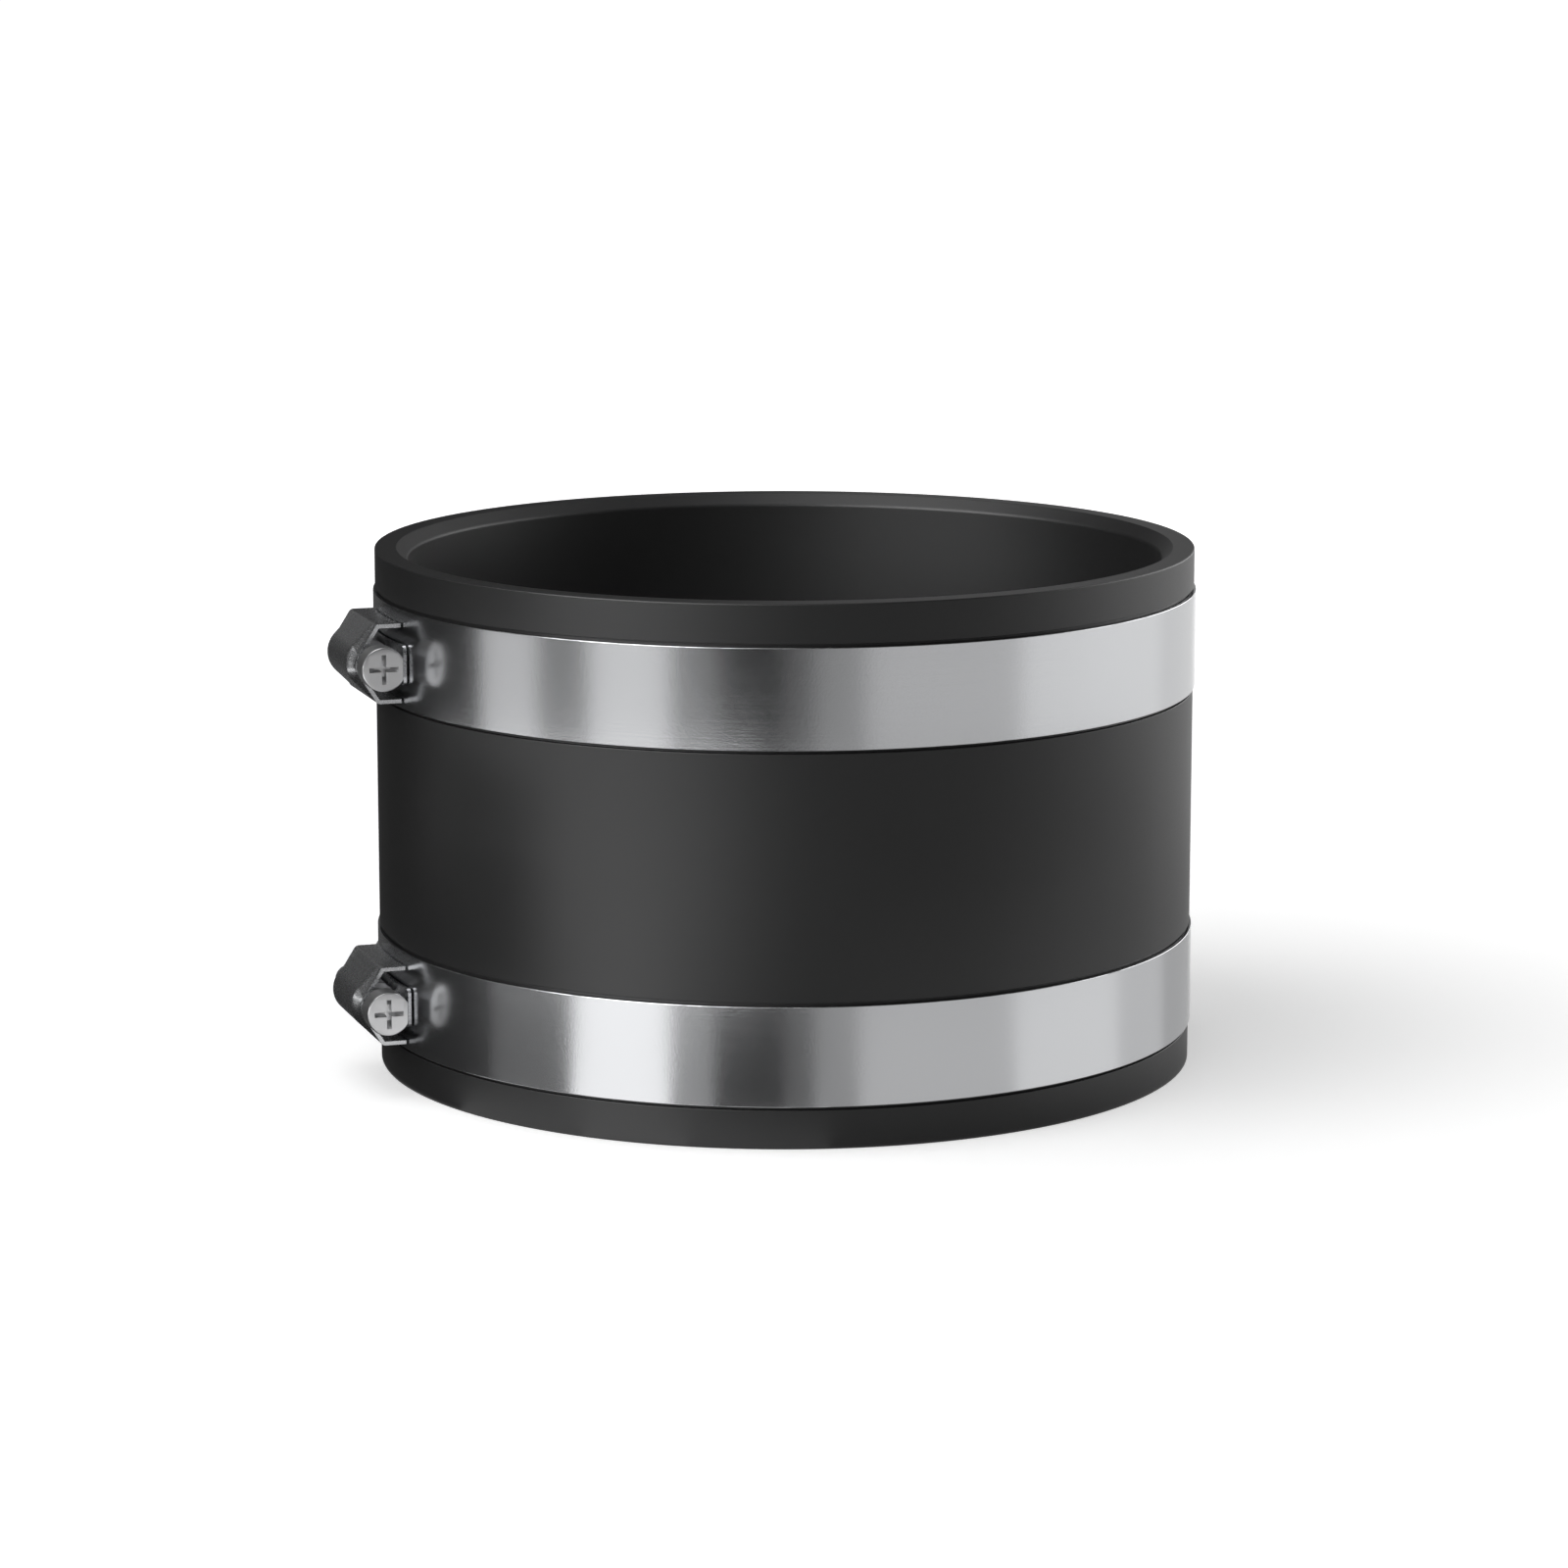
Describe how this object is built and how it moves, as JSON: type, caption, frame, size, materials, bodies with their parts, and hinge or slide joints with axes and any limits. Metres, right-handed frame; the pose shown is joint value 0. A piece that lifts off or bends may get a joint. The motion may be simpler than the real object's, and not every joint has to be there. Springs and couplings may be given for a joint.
{
  "type": "rubber duct coupler",
  "caption": "Short black rubber sleeve that joins two round ducts, with a wide stainless worm-drive band clamp in a shallow groove near each end.",
  "frame": {"origin": "centre of the sleeve, on its axis halfway between the two ends", "axes": "+Z along the sleeve's axis; the two screw housings stand on the side at 198 degrees from +X, seen from above"},
  "size_m": [0.1742, 0.167, 0.1048],
  "materials": {
    "black_rubber": "matte moulded",
    "stainless_steel": "satin, finely brushed",
    "plated_screw_steel": "satin, zinc plated"
  },
  "bodies": {
    "coupler": {"rubber_sleeve": "black_rubber", "upper_band": "stainless_steel", "upper_housing": "stainless_steel", "lower_band": "stainless_steel", "lower_housing": "stainless_steel"},
    "upper_strap_end": {"upper_strap": "stainless_steel"},
    "upper_screw_drive": {"upper_screw": "plated_screw_steel"},
    "lower_strap_end": {"lower_strap": "stainless_steel"},
    "lower_screw_drive": {"lower_screw": "plated_screw_steel"}
  },
  "joints": [
    {"name": "upper_screw_turn", "type": "hinge", "parent": "coupler", "child": "upper_screw_drive", "pos_m": [-0.08336, -0.02741, 0.03365], "axis": [-0.3123, 0.95, 0], "range_deg": [-360, 720]},
    {"name": "upper_strap_draw", "type": "hinge", "parent": "coupler", "child": "upper_strap_end", "pos_m": [0, 0, 0.03365], "axis": [0, 0, 1], "range_deg": [-2.1, 4.2]},
    {"name": "lower_screw_turn", "type": "hinge", "parent": "coupler", "child": "lower_screw_drive", "pos_m": [-0.08336, -0.02741, -0.03505], "axis": [-0.3123, 0.95, 0], "range_deg": [-360, 720]},
    {"name": "lower_strap_draw", "type": "hinge", "parent": "coupler", "child": "lower_strap_end", "pos_m": [0, 0, -0.03505], "axis": [0, 0, 1], "range_deg": [-2.1, 4.2]}
  ],
  "couplings": [
    {"joint": "upper_strap_draw", "follows": "upper_screw_turn", "ratio": 0.0057011},
    {"joint": "lower_strap_draw", "follows": "lower_screw_turn", "ratio": 0.0057011}
  ]
}
